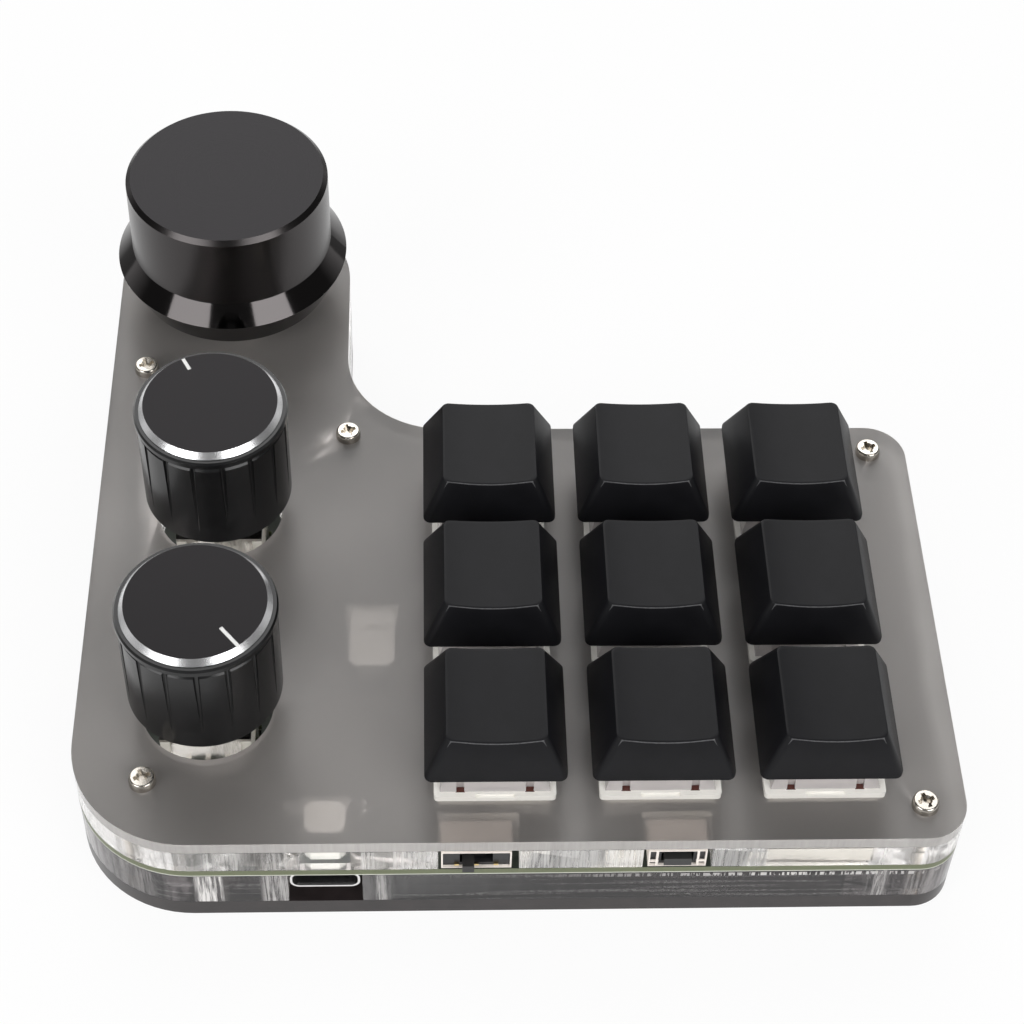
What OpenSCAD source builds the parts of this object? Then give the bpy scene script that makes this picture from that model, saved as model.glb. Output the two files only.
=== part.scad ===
// Macro keypad: nine keys, three push-and-turn knobs, layered acrylic case.
// Millimetres. X to the right, Y away from the user, Z up. The origin is
// under the middle of the whole keypad, on the surface it stands on.

/* [Case outline] */
// Width of the case, left to right
case_w = 114.2; // [112:0.1:130]
// Length of the knob column, front to back
case_l = 115.7; // [113:0.1:130]
// Front-to-back length of the key block
block_l = 69.6; // [68:0.1:76]
// Width of the knob column
column_w = 34.2; // [34:0.1:38]
// Radius of the column's corners
column_r = 15.5; // [12:0.1:16.5]
// Radius of the two corners at the right
corner_r = 5.5; // [2:0.1:10]
// Radius of the inside corner between column and key block
inner_r = 14.2; // [8:0.1:16]

/* [Layers] */
// Thickness of the black base plate
base_t = 2.8; // [2.4:0.1:4]
// Thickness of the lower clear spacer
lower_t = 6.2; // [5.6:0.1:8]
// Thickness of the circuit board
board_t = 1.2; // [1:0.1:1.6]
// Thickness of the upper clear spacer
upper_t = 4.2; // [3.8:0.1:4.6]
// Thickness of the frosted top plate
plate_t = 2; // [1.6:0.1:2.2]
// Wall of the lower spacer in front of and behind the pocket under the keys
pocket_wall = 4.8; // [4:0.1:6]
// Distance of that pocket from the knob column
pocket_left = 7.1; // [6:0.1:8]
// Distance of that pocket from the right edge
pocket_right = 12; // [11:0.1:14]
// Radius of the corners of the pockets
pocket_r = 3; // [2:0.1:4]
// Width of the short pocket beside the USB socket
neck_w = 5; // [4:0.1:6]
// Wall between that pocket and the USB socket's opening
neck_wall = 2.8; // [2:0.1:4]

/* [Case screws] */
// Radius of the screw thread
screw_r = 1; // [0.8:0.05:1.2]
// Length of the screws from the top, under the head
top_screw_l = 10; // [9:0.5:11]
// Length of the countersunk screws from below
bottom_screw_l = 5; // [4:0.5:5.5]
// Radius of the pan head
pan_r = 1.75; // [1.5:0.05:2]
// Height of the pan head
pan_h = 1.2; // [1:0.05:1.5]
// Radius of the countersunk head
sunk_r = 1.9; // [1.7:0.05:2.2]
// Width of the standoffs across their flats
standoff_flats = 4; // [3.6:0.1:4.4]
// Width of the cross recess in the heads
recess_w = 2.2; // [1.8:0.1:2.4]
// Clearance of a screw in its holes, on the radius
screw_play = 0.15; // [0.1:0.05:0.3]
// Clearance of a standoff in the spacer, on the radius
standoff_play = 0.7; // [0.3:0.05:0.8]
// Inset of the key block's screws from its right edge
screw_side = 5.4; // [5:0.1:7]
// Distance of the key block's screws from the middle row of keys
screw_row = 29.95; // [29:0.05:30.2]
// Distance of the column's near corner screw from the arc's centre
screw_arc = 8.5; // [8:0.1:10]
// Distance of the column's far corner screw from the arc's centre
far_screw_arc = 10.4; // [10.2:0.1:10.8]
// Inset of the column's side screw from the left edge
column_screw_side = 4.9; // [4:0.1:6]
// Distance of the column's side screw from the big knob's axis
column_screw_back = 17.1; // [15:0.1:20]
// Distance of the middle screw from the column's right edge
middle_screw_side = 0.3; // [0:0.1:1]
// Distance of the middle screw from the key block's back edge
middle_screw_back = 1.2; // [1:0.1:2]

/* [Keys] */
// Distance from key to key
key_pitch = 21; // [19:0.05:21.5]
// Distance of the middle keys from the right edge of the case
keys_side = 39.05; // [37:0.05:42]
// Distance of the middle row of keys from the front edge
keys_front = 34.9; // [34.5:0.1:36]
// Width and depth of a keycap at its foot
cap_w = 17.9; // [16.5:0.1:18.4]
// Width of a keycap's top
cap_top_w = 12.6; // [11:0.1:14]
// Depth of a keycap's top, front to back
cap_top_l = 14.3; // [11:0.1:14.6]
// How far a keycap's top lies towards the front
cap_top_shift = 0.5; // [0:0.1:1]
// Height of a keycap
cap_h = 7.3; // [7.2:0.1:10]
// Wall of a keycap at its foot
cap_wall = 1.3; // [1:0.1:1.6]
// Thickness of a keycap's top
cap_roof = 1.4; // [1:0.1:1.8]
// Depth of the finger dish
dish_h = 0.65; // [0.3:0.05:1]
// Height of the keycap's foot above the plate
cap_rise = 5.95; // [5.4:0.05:7]
// How far a key travels
key_travel = 4; // [3:0.1:4]

/* [Key switches] */
// Width of the switch body in the plate
switch_w = 14; // [13.8:0.05:14.2]
// Width of the switch flange on the plate
flange_w = 15.5; // [15:0.1:16]
// Height of the switch flange
flange_h = 1; // [0.8:0.1:1.2]
// Depth of the switch body below the top of the plate
switch_d = 5; // [4.6:0.1:5.4]
// Height of the switch housing above the plate
switch_h = 6.6; // [6.2:0.1:6.8]
// Wall of the switch housings
switch_wall = 1.1; // [0.9:0.1:1.3]
// Floor of the switch body
switch_floor = 1; // [0.8:0.1:1.2]
// Radius of the locating pin under a switch
locator_r = 1.95; // [1.8:0.05:2.1]
// Reach of the locating pin and the contacts below the switch body
pin_reach = 3.2; // [2.8:0.1:3.4]
// Grid that the contacts of a switch stand on
contact_grid = 1.27; // [1.2:0.01:1.3]
// Width of a contact's pin
contact_w = 0.9; // [0.7:0.05:1]
// Thickness of the contacts
contact_t = 0.3; // [0.2:0.05:0.35]
// Width of the contact's leaf in the switch
leaf_w = 1.6; // [1.2:0.1:1.8]
// Height of the contact's leaf
leaf_h = 3.2; // [2.6:0.1:3.4]
// Width of the stem's slider, left to right
slider_w = 6.8; // [6:0.1:7]
// Depth of the stem's slider, front to back
slider_l = 5.2; // [5:0.1:5.6]
// Width across the cross on the stem
cross_w = 4; // [3.8:0.05:4.1]
// Thickness of the cross's arms
cross_t = 1.25; // [1.1:0.05:1.35]
// Height of the cross above the housing
cross_h = 3.6; // [3.2:0.1:3.8]
// Radius of the stem's guide pole
pole_r = 1; // [0.8:0.05:1.1]
// Radius of the return spring, to the middle of its wire
spring_r = 2.25; // [2.15:0.05:2.3]
// Radius of the spring's wire
wire_r = 0.15; // [0.12:0.01:0.18]
// Gap round a part that slides or turns without touching
free_gap = 0.3; // [0.25:0.01:0.35]
// Clearance of a shaft or pole in its bore, on the radius
run_gap = 0.06; // [0.03:0.01:0.09]
// Clearance of a part that is pushed onto another
push_gap = 0.02; // [0.01:0.01:0.05]

/* [Encoders] */
// Width of an encoder's plastic base, left to right
encoder_w = 11.7; // [11:0.1:12]
// Depth of an encoder over its metal cover, front to back
encoder_l = 12; // [11.6:0.1:12.2]
// Height of an encoder up to its metal cover's top
encoder_h = 7; // [6:0.1:7]
// Thickness of the metal cover
cover_t = 0.5; // [0.4:0.05:0.6]
// Width of the cover's front and back flaps
flap_w = 9; // [8:0.1:10]
// Radius of the threaded bushing
bushing_r = 3.5; // [3.4:0.05:3.6]
// Height of the bushing above the cover
bushing_h = 5; // [4.8:0.1:5.2]
// Radius of the shaft
shaft_r = 3; // [2.9:0.05:3.1]
// Height of the shaft's tip above the circuit board
shaft_h = 20; // [18:0.5:21]
// Depth of the flat on the shaft
shaft_flat = 1.5; // [1.2:0.1:1.8]
// Side of the square drive inside the encoder
drive_w = 3.6; // [3.2:0.1:3.8]
// How far a knob goes down when it is pressed
push_travel = 0.5; // [0.3:0.05:0.5]
// Radius of the holes in the plate under the knobs
well_r = 8.6; // [8.5:0.05:9]
// Distance between the encoder's terminals
terminal_pitch = 2.5; // [2.4:0.05:2.6]
// Distance of the terminals from the encoder's middle
terminal_y = 7.2; // [7:0.1:7.4]
// Width of a terminal
terminal_w = 0.7; // [0.5:0.05:0.8]
// Height of the terminals above the board
terminal_h = 1.8; // [1.4:0.1:2]
// Reach of the terminals below the board
terminal_reach = 1.2; // [1:0.1:1.6]
// Width of the cover's legs
leg_w = 2; // [1.6:0.1:2.2]

/* [Knobs] */
// Distance of the big knob's axis from the far edge
big_knob_y = 17.1; // [17:0.1:19]
// Distance of the lower knob's axis from the front edge
lower_knob_y = 21.3; // [20:0.1:24]
// Distance from the lower to the upper knob
knob_pitch = 33.3; // [30:0.1:34]
// Radius of the upper and the lower knob's grip
knob_r = 10; // [9:0.05:10.2]
// How far the rim stands out beyond the grip
rim_out = 0.2; // [0.1:0.05:0.4]
// Height of the rim
rim_h = 1.1; // [0.8:0.1:1.5]
// Height of the knob body
knob_body_h = 16.6; // [15:0.1:17]
// Height of the knob's foot above the plate
knob_rise = 4.5; // [4.3:0.1:5.6]
// Radius of the metal disc in a knob's top
disc_r = 9.55; // [8.6:0.05:9.7]
// Width of the bright ring cut on the disc's edge
ring_w = 0.65; // [0.5:0.05:1]
// How far the disc stands above the knob body
disc_proud = 0.9; // [0.5:0.05:1.2]
// Height of the bright ring
ring_h = 0.8; // [0.5:0.05:0.9]
// Depth of the metal disc's seat in the knob
seat_d = 1.2; // [1:0.1:1.4]
// Width of the mark on the disc
mark_w = 0.5; // [0.4:0.05:0.8]
// Number of grooves round a knob
flutes = 16; // [12:1:20]
// Radius of a groove
flute_r = 0.42; // [0.3:0.02:0.6]
// Plain band at the foot of the knob
foot_band = 2.6; // [1.5:0.1:4]
// Radius of the big knob's skirt
skirt_r = 16.8; // [15:0.1:17]
// Height of the skirt's edge above the plate
skirt_z = 8.1; // [7:0.1:9]
// Radius of the big knob's foot
big_foot_r = 14.3; // [13:0.1:15]
// Height of the big knob's foot above the plate
big_rise = 3; // [2.6:0.1:4]
// Radius of the big knob's grip
grip_r = 14.6; // [13:0.1:14.8]
// Height of the big knob's top above the plate
big_top = 22.7; // [21:0.1:25]
// Bevel of the big knob's top edge
top_bevel = 0.65; // [0.4:0.05:1]
// Radius of the big knob's set screw
set_r = 1.5; // [1:0.1:1.7]

/* [Front parts] */
// Distance of the slide switch from the middle keys, to the left
slide_side = 23.4; // [22:0.1:25]
// Width of the slide switch
slide_w = 8.9; // [8.6:0.1:9.4]
// Height of the slide switch and of the push switch
side_switch_h = 3.6; // [3.2:0.1:3.7]
// How far the slide switch's nub moves
slide_travel = 2.1; // [1.6:0.1:2.2]
// Width of the nub
nub_w = 1.5; // [1.2:0.1:1.8]
// Height of the nub
nub_h = 1.4; // [1.2:0.1:1.6]
// How far the nub stands out of the case
nub_out = 1.2; // [0.8:0.1:2]
// Distance between the slide switch's pins
pin_pitch = 2.5; // [2.4:0.05:2.6]
// Width of a pin
pin_w = 0.6; // [0.5:0.05:0.7]
// Height of a pin
pin_h = 0.3; // [0.2:0.05:0.4]
// Distance of the push switch from the middle keys, to the right
push_side = 2.1; // [0:0.1:3]
// Width of the push switch
push_w = 7.4; // [7:0.1:7.8]
// Width of its button
button_w = 3.5; // [2.4:0.1:3.6]
// Height of its button
button_h = 1.5; // [1.2:0.1:1.8]
// How far the button stands out of the case
button_out = 0.4; // [0.4:0.1:1.2]
// How far the button travels
button_travel = 0.3; // [0.2:0.05:0.4]
// Depth of both switches, front to back
side_switch_l = 4.2; // [3.8:0.1:4.6]
// Wall of their metal frames
frame_t = 0.2; // [0.15:0.05:0.3]
// Wall of the plastic bodies in the frames
body_t = 0.6; // [0.5:0.05:0.7]
// How far the frames lie behind the front edge
frame_back = 0.15; // [0.1:0.05:0.4]
// How far the plastic bodies lie behind the frames' edge
body_back = 0.35; // [0.2:0.05:0.5]
// Distance of the USB socket from the column's middle
usb_side = 15.4; // [15:0.1:17]
// Width of the USB socket
usb_w = 8.94; // [8.9:0.01:9]
// Height of the USB socket
usb_h = 3.2; // [3.1:0.01:3.3]
// Depth of the USB socket
usb_l = 7.3; // [6.8:0.1:8]
// Wall of the USB shell
usb_wall = 0.3; // [0.2:0.05:0.35]
// Gap on both sides of the USB socket
usb_gap = 0.3; // [0.2:0.05:0.5]
// How far the socket's mouth lies behind the front edge
usb_back = 0.3; // [0:0.1:1]

/* [Board parts] */
// Width of the near light's guide under the plate
led_w = 5.2; // [4.6:0.1:5.4]
// Depth of the near light's guide, front to back
led_l = 4.5; // [4:0.1:5]
// Width of the far light's guide
far_led_w = 6; // [5:0.1:7]
// Depth of the far light's guide, front to back
far_led_l = 9.2; // [8:0.1:10]
// Cut of the guides' corners
led_corner = 0.8; // [0.2:0.1:1.2]
// Air between the guides and the plate
led_air = 0.3; // [0.2:0.05:1]
// Distance of the far light from the left keys' switches
far_led_side = 8.1; // [7:0.1:10]
// How far the far light sits in front of the middle row of keys
far_led_y = 1.5; // [0:0.1:4]
// Distance of the near light from the left keys' switches
near_led_side = 13.8; // [13:0.1:15]
// Distance of the near light from the middle row of keys
near_led_y = 29.8; // [27:0.1:30]
// How far behind the near light's middle the small parts sit
small_y = 1.6; // [1:0.1:2]
// Distance of the small parts on both sides of the near light
small_side = 4.4; // [4:0.1:5]
// Length of a small part
small_l = 1; // [0.8:0.1:1.2]
// Width and height of a small part
small_w = 0.6; // [0.5:0.05:0.8]
// Side of the controller chip
chip_w = 7; // [6:0.1:8]
// Height of the controller chip
chip_h = 0.9; // [0.8:0.1:1.2]
// Length of a diode
diode_l = 2.7; // [2.5:0.1:2.9]
// Width of a diode
diode_w = 1.6; // [1.4:0.1:1.8]
// Height of a diode
diode_h = 1.1; // [0.9:0.1:1.3]
// Distance of a diode from the middle of its key
diode_y = 5.6; // [5.2:0.1:6]

/* [Hidden] */
$fn = 64;
cut = 0.01;

// Heights of the layers
board_z = base_t + lower_t;
board_top = board_z + board_t;
plate_z = board_top + upper_t;
plate_top = plate_z + plate_t;

// Edges of the case. The nub stands out at the front, so the case lies a
// little further back than the origin.
left_x = -case_w / 2;
right_x = case_w / 2;
front_y = -(case_l - nub_out) / 2;
far_y = front_y + case_l;
block_y = front_y + block_l;
column_x = left_x + column_w / 2;
column_edge = left_x + column_w;

// Keys, counted from the far left to the near right
keys_x = right_x - keys_side;
keys_y = front_y + keys_front;
function key_at(n) = [
    keys_x + ((n - 1) % 3 - 1) * key_pitch,
    keys_y + (1 - floor((n - 1) / 3)) * key_pitch
];

// Knobs, from the far end to the front
big_y = far_y - big_knob_y;
knob_at = [
    [column_x, big_y],
    [column_x, front_y + lower_knob_y + knob_pitch],
    [column_x, front_y + lower_knob_y]
];

// Screws of the case
screw_at = [
    [right_x - screw_side, keys_y - screw_row],
    [right_x - screw_side, keys_y + screw_row],
    [column_edge + middle_screw_side, block_y - middle_screw_back],
    [left_x + column_screw_side, big_y - column_screw_back],
    [column_edge - column_r, far_y - column_r] + far_screw_arc * [cos(45), sin(45)],
    [left_x + column_r, front_y + column_r] - screw_arc * [cos(45), sin(45)]
];
standoff_r = standoff_flats / sqrt(3);
sunk_h = sunk_r - screw_r;

// Key switch, measured from the top of the plate
switch_bottom = -switch_d;
floor_z = switch_bottom + switch_floor;
slider_z = 2;
tube_r = spring_r - wire_r - free_gap;
pin_z = switch_bottom - pin_reach;
pole_end = -3.6;
cover_top_w = 11;
leg_t = slider_w / 2 - spring_r - wire_r - free_gap;
leg_h = slider_z - key_travel - floor_z - free_gap;
// Where the two contacts of a switch pass the board, from its middle
contact_at = contact_grid * [[-3, 2], [2, 4]];

// Encoder, measured from the circuit board
cover_z = encoder_h - cover_t;
bushing_top = encoder_h + bushing_h;
encoder_floor = 1.2;
cavity_r = 5.2;
hub_r = 3.3;
hub_top = 5.5;
drive_top = hub_top + push_travel + free_gap;
dome_h = 0.6;
leg_x = encoder_w / 2 + cover_t / 2;
// Where the encoder's five terminals pass the board, from its middle
terminal_at = [for (t = [[-1, -1], [0, -1], [1, -1], [-1, 1], [1, 1]])
    [t[0] * terminal_pitch, t[1] * terminal_y]];

// Knobs, measured from the top of the plate
tip_z = board_top + shaft_h - plate_top;
bushing_z = board_top + bushing_top - plate_top;
socket_z = bushing_z + push_travel + free_gap;
set_z = (bushing_z + tip_z) / 2 + 1.6;

// Front parts
slide_x = keys_x - slide_side;
push_x = keys_x + push_side;
usb_x = column_x + usb_side;
notch_gap = 0.7;
notch_shift = 0.3;
notch_l = side_switch_l + 1;
slide_z = board_top + side_switch_h / 2;
carrier_y = frame_back + body_back + body_t + free_gap;
carrier_h = side_switch_h - 2 * (frame_t + push_gap) - body_t - 2 * free_gap;
carrier_w = nub_w + 3;
pin_low = 0.5;

// Board parts
switches_left = keys_x - key_pitch - flange_w / 2;
led_at = [
    [switches_left - far_led_side, keys_y - far_led_y],
    [switches_left - near_led_side, keys_y - near_led_y]
];
// Small parts beside the near light, and their places
small_at = [for (s = [-1, 1]) led_at[1] + [s * small_side, small_y]];
led_size = [[far_led_w, far_led_l], [led_w, led_l]];
led_h = upper_t - led_air;
led_gap = 0.6;
chip_at = [column_x, (knob_at[1][1] + knob_at[2][1]) / 2];

// ---- Helpers ----

module at(places) {
    for (p = places) translate([p[0], p[1], 0]) children();
}

module block(size, z = 0) {
    translate([-size[0] / 2, -size[1] / 2, z]) cube(size);
}

module keys_all() {
    for (n = [1:9]) translate([key_at(n)[0], key_at(n)[1], plate_top]) children();
}

module round_rect(w, l, r) {
    square([w, l - 2 * r], center = true);
    square([w - 2 * r, l], center = true);
    for (x = [-1, 1], y = [-1, 1])
        translate([x * (w / 2 - r), y * (l / 2 - r)]) circle(r);
}

// The outline that every layer of the case shares
module case_outline() {
    // knob column
    translate([left_x, front_y + column_r]) square([column_w, case_l - 2 * column_r]);
    translate([left_x + column_r, far_y - column_r])
        square([column_w - 2 * column_r, column_r]);
    translate([left_x + column_r, front_y + column_r]) circle(column_r, $fn = 96);
    for (x = [left_x + column_r, column_edge - column_r])
        translate([x, far_y - column_r]) circle(column_r, $fn = 96);
    // key block
    translate([left_x + column_r, front_y])
        square([case_w - column_r - corner_r, block_l]);
    translate([left_x + column_r, front_y + corner_r])
        square([case_w - column_r, block_l - 2 * corner_r]);
    for (y = [front_y + corner_r, block_y - corner_r])
        translate([right_x - corner_r, y]) circle(corner_r);
    translate([column_edge, block_y]) difference() {
        translate([-1, -1]) square(inner_r + 1);
        translate([inner_r, inner_r]) circle(inner_r);
    }
}

module layer(z, t) {
    translate([0, 0, z]) linear_extrude(t) case_outline();
}

module holes(places, r, z, t) {
    at(places) translate([0, 0, z - cut]) cylinder(r = r, h = t + 2 * cut);
}

// Open notch in the front edge of a layer
module front_notch(x, w, l, z, t) {
    translate([x - w / 2, front_y - 1, z - cut]) cube([w, l + 1, t + 2 * cut]);
}

// ---- Case ----

module base_plate() {
    color([0.13, 0.13, 0.14]) difference() {
        layer(0, base_t);
        holes(screw_at, screw_r + screw_play, 0, base_t);
        at(screw_at) translate([0, 0, -cut])
            cylinder(r1 = sunk_r + screw_play + cut, r2 = screw_r + screw_play,
                     h = sunk_h + cut);
    }
}

module lower_spacer() {
    pocket_x1 = column_edge + pocket_left;
    pocket_x2 = right_x - pocket_right;
    opening_w = usb_w + 2 * usb_gap;
    neck_x = usb_x - opening_w / 2 - neck_wall - neck_w / 2;
    neck_y = front_y + pocket_wall;
    knobs_r = well_r - 0.4;
    color([0.85, 0.88, 0.88, 0.4]) difference() {
        layer(base_t, lower_t);
        holes(screw_at, standoff_r + standoff_play, base_t, lower_t);
        translate([0, 0, base_t - cut]) linear_extrude(lower_t + 2 * cut) {
            // pocket under the keys
            translate([(pocket_x1 + pocket_x2) / 2, (front_y + block_y) / 2])
                round_rect(pocket_x2 - pocket_x1, block_l - 2 * pocket_wall, pocket_r);
            // pocket under the knobs, with a neck beside the USB socket
            for (k = [knob_at[0], knob_at[2]]) translate(k) circle(knobs_r);
            translate([column_x - knobs_r, knob_at[2][1]])
                square([2 * knobs_r, big_y - knob_at[2][1]]);
            translate([neck_x - neck_w / 2, neck_y])
                square([neck_w, knob_at[2][1] - neck_y]);
        }
        front_notch(usb_x, opening_w, usb_back + usb_l + 2 * usb_gap, base_t, lower_t);
    }
}

module circuit_board() {
    color([0.16, 0.24, 0.16]) difference() {
        layer(board_z, board_t);
        holes(screw_at, screw_r + screw_play, board_z, board_t);
        for (n = [1:9]) {
            holes([key_at(n)], locator_r + 0.1, board_z, board_t);
            holes([for (c = contact_at) key_at(n) + c], 0.75, board_z, board_t);
        }
        for (k = knob_at) {
            holes([for (t = terminal_at) k + t], 0.5, board_z, board_t);
            at([k]) for (s = [-1, 1])
                translate([s * leg_x, 0, board_z - cut])
                    block([cover_t + 0.5, leg_w + 0.4, board_t + 2 * cut]);
        }
    }
}

module upper_spacer() {
    color([0.85, 0.88, 0.88, 0.4]) difference() {
        layer(board_top, upper_t);
        holes(screw_at, screw_r + screw_play, board_top, upper_t);
        for (n = [1:9]) at([key_at(n)])
            block([switch_w + 0.6, switch_w + 0.6, upper_t + 2 * cut], board_top - cut);
        holes(knob_at, well_r, board_top, upper_t);
        for (i = [0, 1]) at([led_at[i]])
            block([led_size[i][0] + 2 * led_gap, led_size[i][1] + 2 * led_gap,
                   upper_t + 2 * cut], board_top - cut);
        front_notch(slide_x + notch_shift, slide_w + 2 * notch_gap, notch_l,
                    board_top, upper_t);
        front_notch(push_x, push_w + 2 * notch_gap, notch_l, board_top, upper_t);
        at(small_at)
            block([small_l + led_gap, small_w + led_gap, upper_t + 2 * cut],
                  board_top - cut);
    }
}

module top_plate() {
    color([0.62, 0.6, 0.59, 0.7]) difference() {
        layer(plate_z, plate_t);
        holes(screw_at, screw_r + screw_play, plate_z, plate_t);
        for (n = [1:9]) at([key_at(n)])
            block([switch_w, switch_w, plate_t + 2 * cut], plate_z - cut);
        holes(knob_at, well_r, plate_z, plate_t);
    }
}

// ---- Fasteners ----

// Cross recess for a screwdriver, opening upwards at z = 0
module cross_recess(size, depth) {
    for (a = [0, 90]) rotate(a)
        translate([0, 0, -depth]) block([size, size * 0.27, depth + 1]);
    translate([0, 0, -depth]) cylinder(r1 = size * 0.12, r2 = size * 0.36, h = depth + cut);
}

module top_screws() {
    color("silver") at(screw_at) translate([0, 0, plate_top]) difference() {
        union() {
            // pan head: straight side, crowned top
            rotate_extrude() {
                square([pan_r, pan_h * 0.5]);
                translate([0, pan_h * 0.5 - cut])
                    square([pan_r - 0.35, pan_h * 0.5 + cut]);
                translate([pan_r - 0.35, pan_h * 0.5]) intersection() {
                    scale([1, pan_h * 0.5 / 0.35]) circle(0.35);
                    square(1);
                }
                square([pan_r - 0.35, pan_h]);
            }
            translate([0, 0, -top_screw_l]) cylinder(r = screw_r, h = top_screw_l + cut);
        }
        translate([0, 0, pan_h]) rotate(20) cross_recess(recess_w, 0.8);
    }
}

module bottom_screws() {
    color("silver") at(screw_at) difference() {
        union() {
            cylinder(r1 = sunk_r, r2 = screw_r, h = sunk_h);
            cylinder(r = screw_r, h = bottom_screw_l);
        }
        rotate([180, 0, 0]) cross_recess(recess_w, 0.7);
    }
}

module standoffs() {
    color([0.78, 0.66, 0.38]) at(screw_at) translate([0, 0, base_t]) difference() {
        cylinder(r = standoff_r, h = lower_t, $fn = 6);
        translate([0, 0, -cut]) cylinder(r = screw_r, h = lower_t + 2 * cut);
    }
}

// ---- Key switches ----

module switch_bases() {
    inner = switch_w - 2 * switch_wall;
    color([0.93, 0.93, 0.92]) keys_all() difference() {
        union() {
            difference() {
                union() {
                    block([switch_w, switch_w, switch_d], switch_bottom);
                    linear_extrude(flange_h) round_rect(flange_w, flange_w, 0.5, $fn = 16);
                }
                block([inner, inner, switch_d + flange_h], floor_z);
                // step in the middle of the flange's front edge
                translate([0, -flange_w / 2, flange_h - 0.4]) block([5, 0.8, 1]);
            }
            // locating pin below, guide tube inside
            translate([0, 0, pin_z]) cylinder(r = locator_r, h = pin_reach + cut);
            translate([0, 0, floor_z - cut]) cylinder(r = tube_r, h = 1.6 + cut);
        }
        translate([0, 0, pin_z + 0.4])
            cylinder(r = pole_r + run_gap, h = pin_reach + switch_floor + 2);
        for (c = contact_at) translate([c[0], c[1], 0])
            block([contact_w, contact_t, 2], switch_bottom - 0.5);
    }
}

// Tapered box: bottom and top size, height
module tapered(w1, l1, w2, l2, h) {
    intersection() {
        rotate([90, 0, 0]) linear_extrude(l1 * 2, center = true)
            polygon([[-w1 / 2, 0], [w1 / 2, 0], [w2 / 2, h], [-w2 / 2, h]]);
        rotate([90, 0, 90]) linear_extrude(w1 * 2, center = true)
            polygon([[-l1 / 2, 0], [l1 / 2, 0], [l2 / 2, h], [-l2 / 2, h]]);
    }
}

module switch_covers() {
    h = switch_h - flange_h;
    wall = switch_wall;
    color([0.92, 0.9, 0.9, 0.5]) keys_all() translate([0, 0, flange_h]) difference() {
        tapered(switch_w, switch_w, cover_top_w, cover_top_w, h);
        translate([0, 0, -cut])
            tapered(switch_w - 2 * wall, switch_w - 2 * wall,
                    cover_top_w - 2 * wall, cover_top_w - 2 * wall, h - wall + cut);
        // mouth for the stem
        block([slider_w + 2 * free_gap, slider_l + 2 * free_gap, h + 1]);
        // clip slots, two at the front and two at the back
        for (x = [-1, 1], y = [-1, 1])
            translate([x * 4.4, y * switch_w / 2, -cut]) block([1, 1.4, 1.9]);
    }
}

module switch_contacts() {
    color([0.8, 0.62, 0.3]) keys_all() for (c = contact_at) translate([c[0], c[1], 0]) {
        block([contact_w, contact_t, floor_z - pin_z], pin_z);
        // leaf that stands in the housing, clear of the slider
        leaf_x = c[0] < 0 ? -slider_w / 2 - free_gap - leaf_w / 2 - c[0] : 0.4;
        translate([leaf_x, 0, floor_z]) block([leaf_w, contact_t, leaf_h]);
    }
}

// Return spring: a coil drawn by turning one round section as it rises
module switch_springs() {
    length = slider_z - floor_z - 2 * wire_r;
    turns = 5;
    color([0.75, 0.72, 0.6]) keys_all() translate([0, 0, floor_z + wire_r])
        linear_extrude(length, twist = -360 * turns, slices = 12 * turns, segments = 1)
            translate([spring_r, 0]) scale([1, 2.6]) circle(wire_r, $fn = 5);
}

module switch_stem(n) {
    color([0.72, 0.2, 0.2]) translate([key_at(n)[0], key_at(n)[1], plate_top]) {
        block([slider_w, slider_l, switch_h - slider_z], slider_z);
        // cross that carries the keycap
        block([cross_w, cross_t, cross_h + cut], switch_h - cut);
        block([cross_t, cross_w, cross_h + cut], switch_h - cut);
        // guide pole and the two legs that work the contacts
        translate([0, 0, pole_end]) cylinder(r = pole_r, h = slider_z - pole_end + cut);
        for (s = [-1, 1])
            translate([s * (slider_w - leg_t) / 2, 0, 0])
                block([leg_t, slider_l / 2, leg_h], slider_z - leg_h + cut);
    }
}

// ---- Keycaps ----

// Thin slab with round corners, used to loft the keycap
module slab(w, l, r, z) {
    translate([0, 0, z]) for (x = [-1, 1], y = [-1, 1])
        translate([x * (w / 2 - r), y * (l / 2 - r), 0])
            cylinder(r = r, h = 0.02, $fn = 24);
}

module keycap(n) {
    dish_r = (pow(cap_top_w / 2, 2) + dish_h * dish_h) / (2 * dish_h);
    roof_z = cap_h - dish_h - cap_roof;
    thin = 2 * cap_wall;
    socket_low = switch_h - cap_rise + 0.15;
    color([0.17, 0.17, 0.18]) translate([key_at(n)[0], key_at(n)[1], plate_top + cap_rise]) {
        difference() {
            // outer skin: vertical hem, tapering sides with round corners
            hull() {
                slab(cap_w, cap_w, 1, 0);
                slab(cap_w, cap_w, 1, 0.8);
                translate([0, -cap_top_shift, 0])
                    slab(cap_top_w, cap_top_l, 1, cap_h - 0.02);
            }
            // finger dish, hollow from side to side
            translate([0, 0, cap_h + dish_r - dish_h]) rotate([90, 0, 0])
                cylinder(r = dish_r, h = cap_w + 2, center = true, $fn = 96);
            // inside
            hull() {
                slab(cap_w - thin, cap_w - thin, 0.7, -0.05);
                slab(cap_w - thin, cap_w - thin, 0.7, 0.8);
                translate([0, -cap_top_shift, 0])
                    slab(cap_top_w - 2, cap_top_l - 2, 1, roof_z);
            }
        }
        // socket for the stem's cross
        difference() {
            translate([0, 0, socket_low])
                cylinder(r = 2.75, h = roof_z - socket_low + 0.1);
            for (a = [0, 90]) rotate(a) translate([0, 0, socket_low - cut])
                block([cross_w + 2 * push_gap, cross_t + 2 * push_gap,
                       switch_h + cross_h - cap_rise - socket_low + push_gap]);
        }
    }
}

// ---- Encoders ----

module encoders_all() {
    for (k = knob_at) translate([k[0], k[1], board_top]) children();
}

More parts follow.
